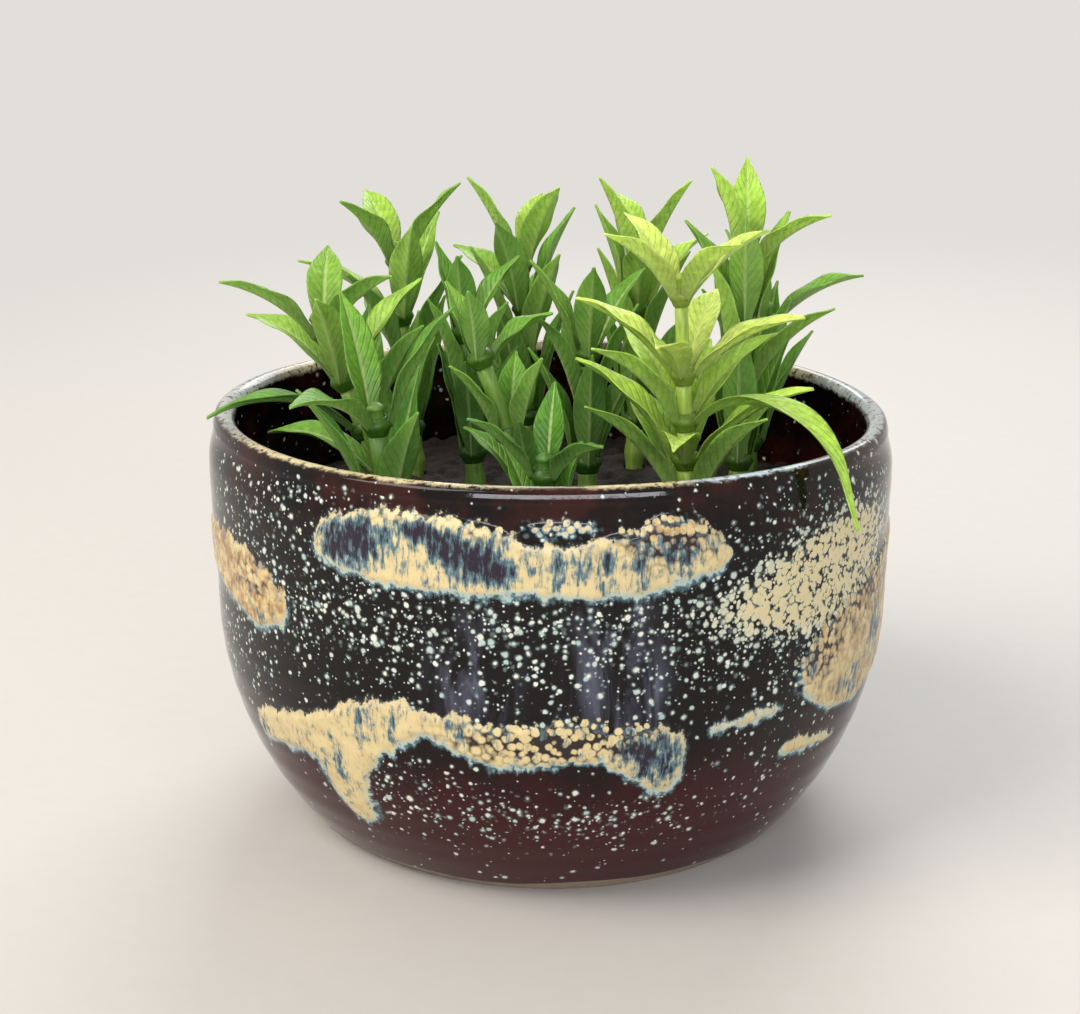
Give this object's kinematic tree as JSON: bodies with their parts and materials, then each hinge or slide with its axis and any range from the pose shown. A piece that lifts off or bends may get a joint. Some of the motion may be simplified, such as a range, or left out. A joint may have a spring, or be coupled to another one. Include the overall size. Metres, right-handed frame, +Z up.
{
  "type": "planter",
  "caption": "Small thrown stoneware bowl in a dark splashed glaze, with a lift-out foam insert that holds pull-out sprigs of artificial greenery.",
  "frame": {"origin": "middle of the foot ring, on the table that the bowl stands on", "axes": "+Z is up along the bowl's axis, -Y is the front that the picture shows, +X is to its right"},
  "size_m": [0.122, 0.122, 0.1178],
  "materials": {
    "glazed_stoneware": "gloss",
    "floral_foam": "matte",
    "dark_crumb": "matte",
    "stem_plastic": "satin",
    "bright_leaf_plastic": "satin",
    "leaf_plastic": "satin"
  },
  "bodies": {
    "bowl": {"bowl": "glazed_stoneware"},
    "insert": {"foam_plug": "floral_foam", "crumb_topping": "dark_crumb"},
    "back_centre_sprig": {"back_centre_stem": "stem_plastic", "back_centre_leaf_whorl_1": "leaf_plastic", "back_centre_leaf_whorl_2": "leaf_plastic", "back_centre_leaf_whorl_3": "leaf_plastic", "back_centre_leaf_whorl_4": "leaf_plastic"},
    "back_left_sprig": {"back_left_stem": "stem_plastic", "back_left_leaf_whorl_1": "leaf_plastic", "back_left_leaf_whorl_2": "leaf_plastic", "back_left_leaf_whorl_3": "leaf_plastic", "back_left_leaf_whorl_4": "leaf_plastic"},
    "back_right_sprig": {"back_right_stem": "stem_plastic", "back_right_leaf_whorl_1": "leaf_plastic", "back_right_leaf_whorl_2": "leaf_plastic", "back_right_leaf_whorl_3": "leaf_plastic", "back_right_leaf_whorl_4": "leaf_plastic"},
    "centre_sprig": {"centre_stem": "stem_plastic", "centre_leaf_whorl_1": "leaf_plastic", "centre_leaf_whorl_2": "leaf_plastic", "centre_leaf_whorl_3": "leaf_plastic"},
    "centre_back_sprig": {"centre_back_stem": "stem_plastic", "centre_back_leaf_whorl_1": "leaf_plastic", "centre_back_leaf_whorl_2": "leaf_plastic", "centre_back_leaf_whorl_3": "leaf_plastic"},
    "centre_left_sprig": {"centre_left_stem": "stem_plastic", "centre_left_leaf_whorl_1": "leaf_plastic", "centre_left_leaf_whorl_2": "leaf_plastic", "centre_left_leaf_whorl_3": "leaf_plastic"},
    "far_right_sprig": {"far_right_stem": "stem_plastic", "far_right_leaf_whorl_1": "leaf_plastic", "far_right_leaf_whorl_2": "leaf_plastic", "far_right_leaf_whorl_3": "leaf_plastic"},
    "front_centre_sprig": {"front_centre_stem": "stem_plastic", "front_centre_leaf_whorl_1": "leaf_plastic", "front_centre_leaf_whorl_2": "leaf_plastic"},
    "front_left_sprig": {"front_left_stem": "stem_plastic", "front_left_leaf_whorl_1": "leaf_plastic", "front_left_leaf_whorl_2": "leaf_plastic"},
    "front_right_sprig": {"front_right_stem": "stem_plastic", "front_right_leaf_whorl_1": "bright_leaf_plastic", "front_right_leaf_whorl_2": "bright_leaf_plastic", "front_right_leaf_whorl_3": "bright_leaf_plastic", "front_right_leaf_whorl_4": "bright_leaf_plastic", "front_right_leaf_whorl_5": "bright_leaf_plastic"},
    "left_sprig": {"left_stem": "stem_plastic", "left_leaf_whorl_1": "leaf_plastic", "left_leaf_whorl_2": "leaf_plastic", "left_leaf_whorl_3": "leaf_plastic", "left_leaf_whorl_4": "leaf_plastic"},
    "right_sprig": {"right_stem": "stem_plastic", "right_leaf_whorl_1": "leaf_plastic", "right_leaf_whorl_2": "leaf_plastic", "right_leaf_whorl_3": "leaf_plastic", "right_leaf_whorl_4": "leaf_plastic"}
  },
  "joints": [
    {"name": "lift_out_insert", "type": "slide", "parent": "bowl", "child": "insert", "axis": [0, 0, 1], "range_m": [0, 0.085]},
    {"name": "pull_out_back_centre_sprig", "type": "slide", "parent": "insert", "child": "back_centre_sprig", "axis": [0, 0, 1], "range_m": [0, 0.04]},
    {"name": "pull_out_back_left_sprig", "type": "slide", "parent": "insert", "child": "back_left_sprig", "axis": [0, 0, 1], "range_m": [0, 0.04]},
    {"name": "pull_out_back_right_sprig", "type": "slide", "parent": "insert", "child": "back_right_sprig", "axis": [0, 0, 1], "range_m": [0, 0.04]},
    {"name": "pull_out_centre_sprig", "type": "slide", "parent": "insert", "child": "centre_sprig", "axis": [0, 0, 1], "range_m": [0, 0.04]},
    {"name": "pull_out_centre_back_sprig", "type": "slide", "parent": "insert", "child": "centre_back_sprig", "axis": [0, 0, 1], "range_m": [0, 0.04]},
    {"name": "pull_out_centre_left_sprig", "type": "slide", "parent": "insert", "child": "centre_left_sprig", "axis": [0, 0, 1], "range_m": [0, 0.04]},
    {"name": "pull_out_far_right_sprig", "type": "slide", "parent": "insert", "child": "far_right_sprig", "axis": [0, 0, 1], "range_m": [0, 0.04]},
    {"name": "pull_out_front_centre_sprig", "type": "slide", "parent": "insert", "child": "front_centre_sprig", "axis": [0, 0, 1], "range_m": [0, 0.04]},
    {"name": "pull_out_front_left_sprig", "type": "slide", "parent": "insert", "child": "front_left_sprig", "axis": [0, 0, 1], "range_m": [0, 0.04]},
    {"name": "pull_out_front_right_sprig", "type": "slide", "parent": "insert", "child": "front_right_sprig", "axis": [0, 0, 1], "range_m": [0, 0.04]},
    {"name": "pull_out_left_sprig", "type": "slide", "parent": "insert", "child": "left_sprig", "axis": [0, 0, 1], "range_m": [0, 0.04]},
    {"name": "pull_out_right_sprig", "type": "slide", "parent": "insert", "child": "right_sprig", "axis": [0, 0, 1], "range_m": [0, 0.04]}
  ]
}
